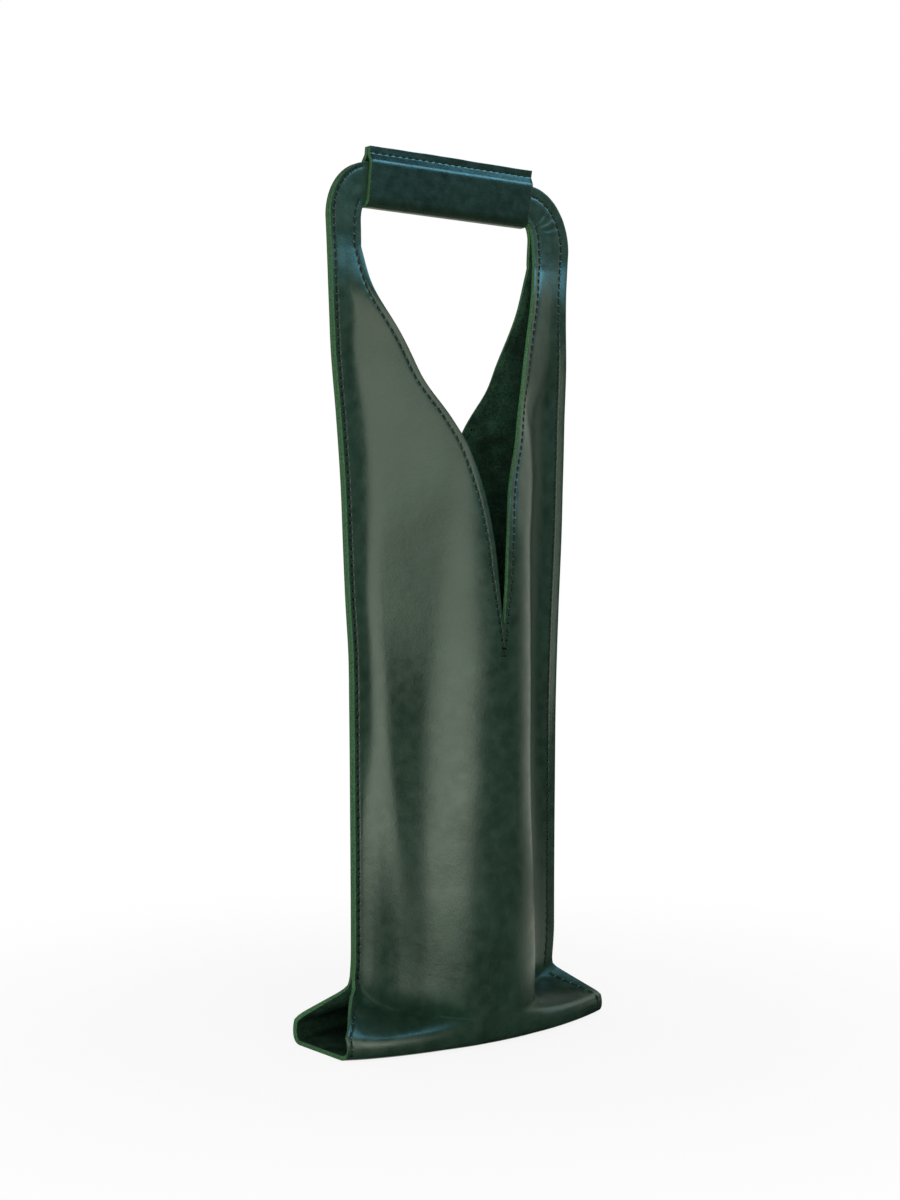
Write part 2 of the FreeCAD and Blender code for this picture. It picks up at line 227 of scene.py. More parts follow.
# Fold: how the strip turns from the base into a wall, in mm; pairs are for the middle and the open ends
fold = {
    # half the base's outline: distance from the middle and depth
    "outline": [(0, 37.8), (15, 37.1), (25, 35.6), (45, 31.4), (60, 27.0), (74, 21.5)],
    "top": 140.0,
    "lowest": 20.0,
    "levels": 25,
    "samples": 200,
    "openEnd": (42, 58),  # where the middle gives way to the open ends
    # distance from the middle, height of the crease below the wall, the wall's swell and its overhang
    "crease": {
        left: [
            (0, 13, -0.3, 0),
            (10, 13, 0.3, 0),
            (20, 13.5, 2.2, 0.3),
            (28, 14.6, 4.5, 1.4),
            (34, 15.6, 7.0, 2.2),
            (40, 16.4, 10.0, 2.6),
            (45, 17.2, 11.5, 2.8),
            (50, 19.0, 5.2, 1.6),
            (53, 21.0, 1.2, 0.4),
            (54.5, 22.3, 0.4, 0.1),
            (56.4, 24.4, 0, 0),
            (58.3, 26.5, 0, 0),
        ],
        right: [
            (0, 13, -0.3, 0),
            (10, 13, 0.3, 0),
            (20, 13.5, 0.6, 0),
            (28, 14, 1.0, 0.2),
            (40, 15.5, 1.8, 0.6),
            (48, 17.0, 1.4, 0.4),
            (53, 18.7, 0.3, 0.1),
            (55, 19.8, 0, 0),
            (58.3, 22.0, 0, 0),
        ],
    },
    "foot": {left: (9.5, 11.5), right: (9.5, 9.0)},
    "floorRound": {left: (6.0, 6.4), right: (6.0, 4.6)},
    "footRound": {left: (10.0, 13.0), right: (8.0, 8.0)},
    "creaseRound": {left: (0.6, 11.0), right: (2.0, 8.0)},
    "bellyRise": 5.5,
    "bellyRound": 10.0,
    "shoulder": 60.0,
    "shoulderSwell": 0.8,
    "shoulderRound": 60.0,
    "dullSize": {left: 9.0, right: 4.5},
    "dullStart": (8, 22),
    "steps": [24, 7, 12, 8, 14, 22],  # rows from one corner of the fold to the next
}


class Section:
    # a level cut through one wall on its grain side: flange, valley, straight ramp, crown
    def __init__(self, span, crown, radius, straight, shift):
        thick, edge = strip["thickness"], strip["layerGap"] / 2
        self.span, self.shift = span, shift
        self.inner = span - strip["flange"]
        across = self.inner - shift
        rise = crown - edge
        self.ramp = straight * across
        reach = (across**2 + rise**2 - self.ramp**2) / (2 * rise)
        self.slope = math.atan2(across, reach - rise) - math.atan2(self.ramp, reach)
        self.valleyCentre = edge + reach - radius
        self.valley = reach - radius - thick
        self.round = radius + thick
        self.crownCentre = crown - radius
        bends = [strip["flange"], self.valley * self.slope, self.ramp, self.round * self.slope]
        self.stops = np.cumsum(bends)

    def at(self, run):
        # distance from the cut edge to a place: across from the middle, and depth
        run = np.asarray(run, float)
        one, two, three, _ = self.stops
        turn = np.clip(run - one, 0, two - one) / self.valley
        along = np.clip(run - two, 0, three - two)
        x = self.inner - self.valley * np.sin(turn) - along * math.cos(self.slope)
        depth = self.valleyCentre - self.valley * np.cos(turn) + along * math.sin(self.slope)
        lean = self.slope - np.clip(run - three, 0, None) / self.round
        onCrown = run > three
        x = np.where(onCrown, self.shift + self.round * np.sin(lean), x)
        depth = np.where(onCrown, self.crownCentre + self.round * np.cos(lean), depth)
        return np.where(run < one, self.span - run, x), depth

    def runTo(self, x):
        runs = np.linspace(0, self.stops[-1] + strip["overrun"], strip["samples"])
        across, _ = self.at(runs)
        return float(np.interp(-x, -across, runs))


def wallSection(half, height):
    return Section(*smoothTable(strip["levels"][half], height))


def mouthEdge(half, height):
    # how far the mouth's cut edge lies from the middle, on one half
    if height <= strip["mouthBottom"]:
        return strip["slitHalf"]
    width, shift = smoothTable(strip["mouth"], height)
    return max(width + half * shift, strip["slitHalf"])


def columnRuns(half, width):
    # distances from the outer cut edge, close together beside both edges and their stitch lines
    shares = np.array(strip["edgeShares"])
    sides = []
    for margin in (strip["outerMargin"][half], strip["innerMargin"]):
        room = min((shares[-1] - 1) * margin, strip["edgeLimit"] * width - margin)
        sides.append(np.where(shares < 1, shares * margin, margin + (shares - 1) / (shares[-1] - 1) * room))
    outer, inner = sides[0], width - sides[1][::-1]
    middle = np.linspace(outer[-1], inner[0], strip["columns"] + 2)[1:-1]
    return np.concatenate([outer, middle, inner])


columnCount = 2 * len(strip["edgeShares"]) + strip["columns"]
arcSteps = 12
tiny = 1e-6


def roundedLine(corners, rounds, steps):
    # a line through the corners with an arc at each; every leg, from arc to arc, has its own steps
    corners = np.array(corners, float)
    legs = np.diff(corners, axis=0)
    lengths = np.maximum(np.linalg.norm(legs, axis=1), tiny)
    ways = legs / lengths[:, None]
    turns = np.arccos(np.clip(np.sum(ways[:-1] * ways[1:], axis=1), -1, 1))
    takes = np.concatenate([[0], np.array(rounds) * np.tan(turns / 2), [0]])
    fits = np.minimum(1, lengths / np.maximum(takes[:-1] + takes[1:], tiny))
    takes[1:-1] *= np.minimum(fits[:-1], fits[1:])
    points, middles = [corners[0]], [0]
    for i in range(1, len(corners) - 1):
        start, end = corners[i] - ways[i - 1] * takes[i], corners[i] + ways[i] * takes[i]
        middles.append(len(points) + arcSteps // 2)
        for u in np.linspace(0, 1, arcSteps + 1):
            points.append((1 - u) ** 2 * start + 2 * u * (1 - u) * corners[i] + u**2 * end)
    points = np.array(points + [corners[-1]])
    length = measure(points)
    bounds = length[middles + [len(points) - 1]]
    stops = [np.linspace(low, high, n + 1)[1:] for low, high, n in zip(bounds, bounds[1:], steps)]
    stops = np.concatenate([[0]] + stops)
    return np.stack([np.interp(stops, length, points[:, k]) for k in range(2)], axis=1)


def measure(points):
    return np.concatenate([[0], np.cumsum(np.linalg.norm(np.diff(points, axis=0), axis=1))])


def baseRows(half):
    # from the middle of the base round its rolled edge, up a facet to the crease below the wall
    levels = np.linspace(fold["lowest"], fold["top"], fold["levels"])
    wall = np.array([wallRow(half, level) for level in levels])
    wallX, wallDepth, wallRuns = wall[:, 0] * half, wall[:, 1], wall[-1, 3]
    x = np.linspace(fold["outline"][-1][0], strip["slitHalf"], fold["samples"])
    outline = np.array([(spot, *smoothTable(fold["outline"], spot)) for spot in x])
    length = measure(outline)
    baseRuns = columnRuns(half, length[-1])
    baseX = np.interp(baseRuns, length, outline[:, 0])
    baseDepth = np.interp(baseRuns, length, outline[:, 1])
    table = np.empty((strip["rows"]["base"] + 1, columnCount, 4))
    for i in range(columnCount):
        depth = wallDepth[-1, i]
        end = ease(wallX[0, i], *fold["openEnd"])
        names = ("foot", "floorRound", "footRound", "creaseRound")
        foot, *rounds = (np.interp(end, (0, 1), fold[name][half]) for name in names)
        head, swell, overhang = smoothTable(fold["crease"][half], wallX[0, i])
        corners = [
            (0, 0),
            (baseDepth[i], 0),
            (baseDepth[i], foot),
            (depth + swell - overhang, head),
            (depth + swell, head + fold["bellyRise"]),
            (depth + fold["shoulderSwell"] * swell, fold["shoulder"]),
            (depth, fold["top"]),
        ]
        rounds += [fold["bellyRound"], fold["shoulderRound"]]
        line = roundedLine(corners, rounds, fold["steps"])
        share = np.clip((head - line[:, 1]) / (head - foot), 0, 1)
        across = np.interp(line[:, 1], levels, wallX[:, i])
        line[:, 0] += (1 - share) * (np.interp(line[:, 1], levels, wallDepth[:, i]) - depth)
        table[:, i, 0] = half * (across + share * (baseX[i] - across))
        table[:, i, 1:3] = line
        table[:, i, 3] = wallRuns[i] + share * (baseRuns[i] - wallRuns[i])
    return table


def wallRow(half, height):
    section = wallSection(half, height)
    runs = columnRuns(half, section.runTo(mouthEdge(half, height)))
    x, depth = section.at(runs)
    return x * half, depth, np.full(len(x), height), runs


def loopRow(half, outer, inner):
    # a row across the flat handle loop, between a place on its outer and one on its inner edge
    outer, inner = np.array(outer), np.array(inner)
    width = np.linalg.norm(inner - outer)
    runs = columnRuns(half, width)
    line = outer + (inner - outer) * runs[:, None] / width
    bow = strip["bow"][half] * (1 - ease(line[:, 1], strip["strapFoot"], strip["bowTop"]))
    return line[:, 0], faceDepth + bow * np.clip(runs - strip["flange"], 0, None), line[:, 1], runs


def stripRows(half):
    # every row of one half of one wall, from the middle of the base to the middle of the bar
    count = strip["rows"]
    pouch = np.linspace(fold["top"], strip["mouthBottom"], count["pouch"] + 1)[1:]
    mouth = np.linspace(strip["mouthBottom"], strip["strapFoot"], count["mouth"] + 1)[1:]
    rows = [wallRow(half, height) for height in np.concatenate([pouch, mouth])]

    wide, tall = strip["corner"][half]
    windowWide, windowTall = strip["windowCorner"]
    low, barBottom = strip["strapFoot"], barTop - strip["barHeight"]
    shift = strip["windowShift"]
    outerX, innerX = half * halfWidth, half * strip["windowHalf"] + shift
    footX = half * strip["levels"][half][-1][1]
    for share in np.linspace(0, 1, count["strap"] + 1)[1:]:
        outer = (footX + share * (outerX - footX), low + share * (barTop - tall - low))
        rows.append(loopRow(half, outer, (innerX, low + share * (barBottom - windowTall - low))))
    for angle in np.linspace(0, math.pi / 2, count["corner"] + 1)[1:]:
        across, up = half * (1 - math.cos(angle)), math.sin(angle) - 1
        outer = (outerX - across * wide, barTop + up * tall)
        rows.append(loopRow(half, outer, (innerX - across * windowWide, barBottom + up * windowTall)))
    for share in np.linspace(0, 1, count["bar"] + 1)[1:]:
        outerEnd, innerEnd = outerX - half * wide, innerX - half * windowWide
        outer = (outerEnd + share * (shift - outerEnd), barTop)
        rows.append(loopRow(half, outer, (innerEnd + share * (shift - innerEnd), barBottom)))
    upper = np.array(rows).transpose(0, 2, 1)  # row, column, then x, depth, height and run
    table = np.concatenate([baseRows(half), upper])
    return table[..., :3], table[..., 3]


rowStart = dict(zip(strip["rows"], np.cumsum([0] + list(strip["rows"].values()))))


seedSteps = (17.3, 5.1, 9.7)


def softNoise(points, size, seed):
    # smooth random numbers between about -1 and 1, in lumps of that size in mm
    offset = Vector([seed * step for step in seedSteps])
    lumps = [noise.noise(Vector(p) / size + offset) for p in points.reshape(-1, 3)]
    return np.array(lumps).reshape(points.shape[:-1])


# Wear: what use gives the hide, in mm; a band says where a change starts, is full, fades and ends
wear = {
    "groove": {left: 0.15, right: 0.35},
    "grooveWidth": 0.9,
    "grooveStart": (20, 32),
    "mouthGrooveStart": (205, 220),
    "crumple": 0.16,
    "crumpleCentre": (46, 371),
    "crumpleRing": (4, 9, 15, 24),
    "crumpleTurn": (-8, 8, 45, 60),  # degrees
    "crumpleWaves": 19,
    "crumpleWander": 2.5,
    "crumpleSize": 9.0,
    "crumpleSeed": 5,
    "lean": 2.3,
    "leanFlank": (15, 50),
    "leanBand": (10, 42, 232, 347),
    "forward": {left: 2.4, right: 3.6},
    "forwardBand": (285, 336, 336, 362),
    "aside": 0.78,  # to the left for each mm forward
    "curl": {left: 0, right: 2.1},
    "curlWidth": 10.0,
    "curlPower": 1.5,
    "curlBand": (85, 160, 300, 345),
    "slack": [(0.6, 40.0), (0.18, 13.0)],  # height and size of the bumps
    "slackSeed": {front: 2, back: 4},
    "slackFlank": (38, 60),
    "slackBand": (26, 60, 300, 345),
}


def crumpledCorner(wall):
    # short folds that fan out from the inside of the handle's corner
    middleX, middleHeight = wear["crumpleCentre"]
    across, up = np.abs(wall[..., 0]) - middleX, wall[..., 2] - middleHeight
    turn = np.degrees(np.arctan2(up, across))
    wander = wear["crumpleWander"] * softNoise(wall, wear["crumpleSize"], wear["crumpleSeed"])
    wave = np.sin(np.radians(turn * wear["crumpleWaves"]) + wander)
    return wave * band(np.hypot(up, across), *wear["crumpleRing"]) * band(turn, *wear["crumpleTurn"])


def settle(wall, run, side, half):
    # sunk stitch lines, a crumpled corner, a slight lean, a curled edge and slack walls
    x, depth, height = wall[..., 0], wall[..., 1], wall[..., 2]
    groove = np.exp(-(((run - strip["outerMargin"][half]) / wear["grooveWidth"]) ** 2))
    groove *= ease(height, *wear["grooveStart"])
    inner = run[:, -1:] - strip["innerMargin"] - run
    groove += np.exp(-((inner / wear["grooveWidth"]) ** 2)) * ease(height, *wear["mouthGrooveStart"])
    depth -= wear["groove"][half] * groove
    if half == right:
        depth += wear["crumple"] * crumpledCorner(wall)
    depth *= side
    flank = ease(np.abs(x), *wear["leanFlank"])
    x += wear["lean"] * flank * band(height, *wear["leanBand"])
    free = np.clip(1 - run / wear["curlWidth"], 0, 1) ** wear["curlPower"]
    forward = wear["forward"][half] * band(height, *wear["forwardBand"])
    forward += wear["curl"][half] * free * band(height, *wear["curlBand"])
    depth -= forward
    x -= wear["aside"] * forward
    slack = band(height, *wear["slackBand"]) * (1 - ease(np.abs(x), *wear["slackFlank"]))
    for rise, size in wear["slack"]:
        depth += side * slack * rise * softNoise(wall, size, wear["slackSeed"][side])
    return wall


def layStrip():
    walls, runs = {}, {}
    for half in (left, right):
        for side in (front, back):
            wall, run = stripRows(half)
            walls[side, half] = settle(wall, run, side, half)
            runs[side, half] = run
    return walls, runs


walls, runs = layStrip()
reach = len(walls[front, left]) - 1


# Seams: lines of stitches on the grain side, in mm
seam = {
    "pitch": 3.75,
    "threadRadius": 0.4,
    "opening": 1.2,
    "lift": 0.12,
    "sides": 8,
    "cuts": (-0.3, 0, 0.3),  # in lengths of a stitch
    "endSize": 0.7,
    "endDive": 1.1,  # in radii
    "flareEnds": (2.0, 22.0),
    "sideFoot": {left: 28.5, right: 24.5},
    "tackRows": {left: (0, 1.2), right: (0.4,)},
    "gripEnd": 1.0,
    "finEnd": 2.0,
    "finPoints": 60,
    "nearby": 0.4,  # step over which the slope of the leather is taken
    "clear": 50.0,  # distance noted where no seam is near
    "tipHeight": 172.5,
    # height and distance of the stitches from the middle, where the two mouth lines meet
    "tip": [(172.5, 0.2), (188, 2.2), (202.5, 4.6), (215, 6.4)],
}


def mouthMargin(half, height):
    # the two lines of the mouth run together below its tip
    table = np.array(seam["tip"])
    if height > table[-1, 0]:
        return strip["innerMargin"]
    spot = np.interp(height, table[:, 0], table[:, 1])
    return max(spot - mouthEdge(half, height), 0)


def seamSpot(side, half, row, inner):
    # how far a line of stitches lies from the outer cut edge
    if not inner:
        return strip["outerMargin"][half]
    return runs[side, half][row, -1] - mouthMargin(half, walls[side, half][row, -1, 2])


def seamPath(side, half, rows, inner):
    # one line of stitches: its points and the way out of the leather there
    wall, run = walls[side, half], runs[side, half]
    points, outs = [], []
    for row in rows:
        spot = seamSpot(side, half, row, inner)
        before, after = max(row - 1, 0), min(row + 1, reach)
        near = seam["nearby"]
        spots = ((row, 0), (row, -near), (row, near), (before, 0), (after, 0))
        place = [[np.interp(spot + step, run[r], wall[r, :, k]) for k in range(3)] for r, step in spots]
        here, first, last, low, high = np.array(place)
        out = np.cross(last - first, high - low)
        out *= np.sign(out[1]) * side / np.linalg.norm(out)
        points.append(here)
        outs.append(out)
    return np.array(points), np.array(outs)


def rowsBetween(side, half, column, low, high):
    # the wall rows whose height at one edge lies between these two
    height = walls[side, half][:, column, 2]
    return [row for row in range(1, rowStart["corner"]) if low <= height[row] <= high]


def loopRows(half, column):
    # the rows of the handle loop from the strap to the end of the grip
    end = gripBox[0][0] if half == left else gripBox[1][0]
    x = walls[front, half][:, column, 0] * half
    limit = abs(end) / mm + seam["gripEnd"]
    return [row for row in range(rowStart["corner"], reach) if x[row] > limit]


def seamLines():
    lines = {}
    for side in (front, back):
        for half in (left, right):
            low, high = seam["flareEnds"]
            lines["flare", side, half] = rowsBetween(side, half, 0, low, high)
            rows = rowsBetween(side, half, 0, seam["sideFoot"][half], barTop)
            lines["side", side, half] = rows + loopRows(half, 0)
            rows = rowsBetween(side, half, -1, seam["tipHeight"], barTop)
            lines["mouth", side, half] = rows + loopRows(half, -1)
    return lines


seams = seamLines()
paths = {key: seamPath(key[1], key[2], rows, key[0] == "mouth") for key, rows in seams.items()}
print("seams drawn:", len(paths), "lines")


def seamTable(side, half):
    # for each point of a wall: how many stitches along the nearest seam it lies, and how far beside it
    run = runs[side, half]
    stitched, offset = np.zeros(run.shape), np.full(run.shape, seam["clear"])
    innerColumns = np.arange(columnCount) >= columnCount // 2
    for name in ("flare", "side", "mouth"):
        inner = name == "mouth"
        near = innerColumns if inner else ~innerColumns
        length = measure(paths[name, side, half][0])
        stitches = length / length[-1] * round(length[-1] / seam["pitch"])
        for row, count in zip(seams[name, side, half], stitches):
            stitched[row, near] = count
            # positive on the panel's side of the line
            beside = seamSpot(side, half, row, inner) - run[row, near]
            offset[row, near] = beside if inner else -beside
    return stitched, offset


def buildStrip():
    piece, column, row = addGrid("strip_leather", 2 * columnCount - 1, 2 * reach)
    level = np.abs(row - reach)
    across = np.minimum(column, 2 * columnCount - 1 - column)
    points = np.empty((len(row), 3))
    seamRun, seamOffset, dull = (np.zeros(len(row)) for _ in range(3))
    creaseRow = sum(fold["steps"][:3])
    for (side, half), wall in walls.items():
        chosen = ((row <= reach) == (side == front)) & ((column < columnCount) == (half == left))
        at = level[chosen], across[chosen]
        points[chosen] = wall[at]
        stitched, offset = seamTable(side, half)
        seamRun[chosen] = stitched[at]
        seamOffset[chosen] = offset[at]
        away = np.linalg.norm(wall - wall[creaseRow], axis=2) / fold["dullSize"][half]
        start = ease(np.abs(wall[..., 0]), *fold["dullStart"])
        dull[chosen] = (np.exp(-(away**2)) * start)[at]
    writePoints(piece, points * mm)
    writeValues(piece, "seamRun", seamRun)
    writeValues(piece, "seamOffset", seamOffset)
    writeValues(piece, "dull", dull)

    # the mouth and the hand window are cut out of the middle column
    cut = (across == columnCount - 1) & (level >= rowStart["mouth"])
    selectFaces(piece, lambda face: cut[list(face.vertices)].all())
    bpy.ops.mesh.delete(type="FACE")
    bpy.ops.mesh.select_all(action="SELECT")
    bpy.ops.mesh.remove_doubles(threshold=strip["weld"] * mm)
    bpy.ops.object.mode_set(mode="OBJECT")
    floorFace = min(piece.data.polygons, key=lambda face: face.center.z)
    if floorFace.normal.z > 0:
        flipNormals(piece)
    finishLeather(piece, strip["thickness"], strip["edgeRound"], stripGrain)
    print("strip laid out:", len(piece.data.polygons), "faces")
    return piece


# Finish: the rounding of cut edges, and the angles past which an edge is rounded or drawn sharp
finish = {
    "segments": 2,
    "roundAngle": 78,
    "sharpAngle": 50,
}


def finishLeather(piece, thickness, edgeRound, grain):
    # grain outside, flesh inside and a rounded raw edge
    for material in (grain, flesh, rawEdge):
        piece.data.materials.append(material)
    makeActive(piece)
    bpy.ops.object.modifier_add(type="SOLIDIFY")
    wall = piece.modifiers[-1]
    wall.thickness = thickness * mm
    wall.offset = -1
    wall.use_even_offset = False
    wall.use_quality_normals = True
    wall.material_offset = 1
    wall.material_offset_rim = 2
    bpy.ops.object.modifier_add(type="BEVEL")
    rim = piece.modifiers[-1]
    rim.width = edgeRound * mm
    rim.segments = finish["segments"]
    rim.limit_method = "ANGLE"
    rim.angle_limit = math.radians(finish["roundAngle"])
    applyModifiers(piece)
    bpy.ops.object.shade_smooth_by_angle(angle=math.radians(finish["sharpAngle"]))


# Stitch: one short length of waxed thread, copied along every seam
def buildStitch():
    clearSelection()
    radius = seam["threadRadius"] * mm
    length = (seam["pitch"] - seam["opening"]) * mm
    bpy.ops.mesh.primitive_cylinder_add(vertices=seam["sides"], radius=radius, depth=length)
    piece = bpy.context.object
    bpy.ops.object.mode_set(mode="EDIT")
    bpy.ops.mesh.select_all(action="SELECT")
    bpy.ops.transform.rotate(value=math.pi / 2, orient_axis="Y", center_override=(0, 0, 0))
    for share in seam["cuts"]:
        bpy.ops.mesh.select_all(action="SELECT")
        bpy.ops.mesh.bisect(plane_co=(share * length, 0, 0), plane_no=(1, 0, 0))
    bpy.ops.object.mode_set(mode="OBJECT")
    # the ends narrow and dive into the needle holes
    for end in (-1, 1):
        selectFaces(piece, lambda face: face.normal.x * end > 0.9)
        bpy.ops.transform.resize(value=(1, seam["endSize"], seam["endSize"]), center_override=(0, 0, 0))
        bpy.ops.transform.translate(value=(0, 0, -seam["endDive"] * radius))
        bpy.ops.object.mode_set(mode="OBJECT")
    return piece


def sew(name, places):
    # one copy of the stitch at each place, joined to one piece
    clearSelection()
    for place in places:
        copy = stitch.copy()
        copy.data = stitch.data.copy()
        copy.data.transform(place)
        bpy.context.collection.objects.link(copy)
        copy.select_set(True)
        bpy.context.view_layer.objects.active = copy
    bpy.ops.object.join()
    piece = bpy.context.object
    piece.name = name
    bpy.ops.object.shade_smooth_by_angle(angle=math.radians(finish["sharpAngle"]))
    piece.data.materials.append(thread)
    return piece


def placesAlong(points, outs):
    # where each stitch of a line goes, as a matrix in metres
    length = measure(points)
    count = round(length[-1] / seam["pitch"])
    stops = np.linspace(0, length[-1], 2 * count + 1)
    spots = np.array([np.interp(stops, length, points[:, k]) for k in range(3)]).T
    ups = np.array([np.interp(stops, length, outs[:, k]) for k in range(3)]).T
    places = []
    for i in range(1, 2 * count, 2):
        along = Vector(spots[i + 1] - spots[i - 1]).normalized()
        aside = Vector(ups[i]).cross(along).normalized()
        up = along.cross(aside)
        turn = Matrix((along, aside, up)).transposed().to_4x4()
        middle = (Vector(spots[i]) + seam["lift"] * up) * mm
        places.append(Matrix.Translation(middle) @ turn)
    return places


def placesOn(lines):
    return [place for line in lines for place in placesAlong(*line)]


def tackPlaces(side, half):
    # stitches across the foot of a side seam
    points, outs = (Vector(line[0]) for line in paths["side", side, half])
    up = (Vector(paths["side", side, half][0][3]) - points).normalized()
    across = up.cross(outs).normalized()
    turn = Matrix((across, outs.cross(across), outs)).transposed().to_4x4()
    spots = [points + rise * up + seam["lift"] * outs for rise in seam["tackRows"][half]]
    return [Matrix.Translation(spot * mm) @ turn for spot in spots]


# Grip: a sheet folded round the bar and sewn to itself above it, in mm
grip = {
    "thickness": 2.0,
    "half": 4.3,
    "bottom": 372.3,
    "shoulder": 392.8,
    "finHalf": 2.1,
    "finFoot": 396.3,
    "top": 399.7,
    "leftEnd": (-50.4, -47.6),  # at the bottom and at the top, as the ends are cut askew
    "rightEnd": (41.5, 46.0),
    "seamHeight": 396.9,
    "cornerRound": 4.0,
    "shoulderRound": 2.4,
    "footRound": 0.9,
    "columns": 48,
    "steps": [10, 12, 20, 14],
    "edgeRound": 0.35,
    "wave": 0.35,
    "waveSize": 26.0,
    "waveSeed": 2,
    "uneven": 0.4,
    "unevenSize": 15.0,
    "unevenSeed": 6,
}


def gripEnds(height):
    # where the two ends lie at a height
    share = (height - grip["bottom"]) / (grip["top"] - grip["bottom"])
    return [low + share * (high - low) for low, high in (grip["leftEnd"], grip["rightEnd"])]


def buildGrip():
    top, half, fin = grip["top"], grip["half"], grip["finHalf"]
    corners = [(-fin, top), (-fin, grip["finFoot"]), (-half, grip["shoulder"]), (-half, grip["bottom"])]
    corners += [(-y, z) for y, z in corners[::-1]]
    rounds = [grip["footRound"], grip["shoulderRound"], grip["cornerRound"]]
    line = roundedLine(corners, rounds + rounds[::-1], grip["steps"] + grip["steps"][-2::-1])
    piece, column, row = addGrid("grip_leather", grip["columns"], 1)
    points = np.empty((len(row), 3))
    points[:, 0] = column
    points[:, 1:] = line[:2][row]
    writePoints(piece, points * mm)
    # its edge is extruded along the fold
    lastEdge = set(np.nonzero(row == 1)[0])
    selectFaces(piece, lambda face: False)
    bpy.ops.mesh.select_mode(type="EDGE")
    bpy.ops.object.mode_set(mode="OBJECT")
    for edge in piece.data.edges:
        edge.select = set(edge.vertices) <= lastEdge
    bpy.ops.object.mode_set(mode="EDIT")
    for y, z in np.diff(line[1:], axis=0) * mm:
        bpy.ops.mesh.extrude_region_move(TRANSFORM_OT_translate={"value": (0, y, z)})
    bpy.ops.object.mode_set(mode="OBJECT")
    # the ends are askew, the fin waves a little and its cut edge is uneven
    points = readPoints(piece) / mm
    leftEnd, rightEnd = gripEnds(points[:, 2])
    points[:, 0] = leftEnd + points[:, 0] / grip["columns"] * (rightEnd - leftEnd)
    lifted = ease(points[:, 2], grip["shoulder"], top)
    along = points * (1, 0, 0)
    points[:, 1] += grip["wave"] * lifted * softNoise(along, grip["waveSize"], grip["waveSeed"])
    points[:, 2] += grip["uneven"] * lifted * softNoise(along, grip["unevenSize"], grip["unevenSeed"])
    writePoints(piece, points * mm)
    face = piece.data.polygons[0]
    if face.normal.y * face.center.y < 0:
        flipNormals(piece)
    finishLeather(piece, grip["thickness"], grip["edgeRound"], gripGrain)
    print("grip folded:", len(piece.data.polygons), "faces")
    return piece


def finLine(side):
    # the line of stitches along one face of the fin, and the way out of the leather there
    leftEnd, rightEnd = gripEnds(grip["seamHeight"])
    count, inset = seam["finPoints"], seam["finEnd"]
    points = np.zeros((count, 3))
    points[:, 0] = np.linspace(leftEnd + inset, rightEnd - inset, count)
    wave = grip["wave"] * ease(grip["seamHeight"], grip["shoulder"], grip["top"])
    points[:, 1] = side * grip["finHalf"]
    points[:, 1] += wave * softNoise(points * (1, 0, 0), grip["waveSize"], grip["waveSeed"])
    points[:, 2] = grip["seamHeight"]
    return points, np.tile((0.0, side, 0.0), (count, 1))


def colour(code):
    # an sRGB hex value in linear light
    parts = [int(code[i : i + 2], 16) / 255 for i in (1, 3, 5)]
    return [p / 12.92 if p <= 0.04045 else ((p + 0.055) / 1.055) ** 2.4 for p in parts] + [1]


def startMaterial(name):
    material = bpy.data.materials.new(name)
    material.use_nodes = True
    material.node_tree.nodes.clear()
    return material, material.node_tree


def add(tree, kind, inputs=(), output=0, **settings):
    # adds a node and gives one of its outputs; inputs go by order or by name, and each is a value or
    # the output that it is linked to
    made = tree.nodes.new("ShaderNode" + kind)
    for name, value in settings.items():
        setattr(made, name, value)
    for name, value in inputs.items() if isinstance(inputs, dict) else enumerate(inputs):
        if isinstance(value, bpy.types.NodeSocket):
            tree.links.new(value, made.inputs[name])
        else:
            made.inputs[name].default_value = value
    return made.outputs[output] if made.outputs else None


smooth = {"interpolation_type": "SMOOTHSTEP"}

# Waxed pull-up hide, drum dyed: a smooth cloudy grain that pales where it is handled
stripHide = {
    "colour": "#1c3128",
    "dark": "#15281f",
    "pale": "#2f4437",
    "cloudSize": 32.0,
    "cloudDetail": 4.0,
    "cloudSpread": (0.3, 0.72),
    "mottleSize": 5.0,
    "mottleDetail": 3.0,
    "paleSpread": (0.35, 0.75),
    "paleShare": 0.35,
    "grainSize": 1.1,  # coarser than real pores, which the render can't show
    "grainShare": 0.25,
    "relief": (0.35, 0.25),  # strength, and depth in mm
    "roughSpread": (0.3, 0.7),
    "rough": (0.30, 0.40),
    "ior": 1.46,
    "shine": (0.5, 0.06),  # on waxed grain, and where a crease has rubbed the wax off
    # painted shade: the near-black colour of the needle holes stands for the shade inside them
    "hole": "#060b08",
    "holeEdge": (0.5, 0.95),  # mm from the needle hole's middle
    "holeDepth": -2.0,  # in depths of the relief
    "pressEdge": (0.2, 1.3),  # mm from the stitch line
    "pressDepth": -1.2,
}
gripHide = dict(stripHide, colour="#12251c", dark="#0e1d16", pale="#1d3128", rough=(0.27, 0.36))


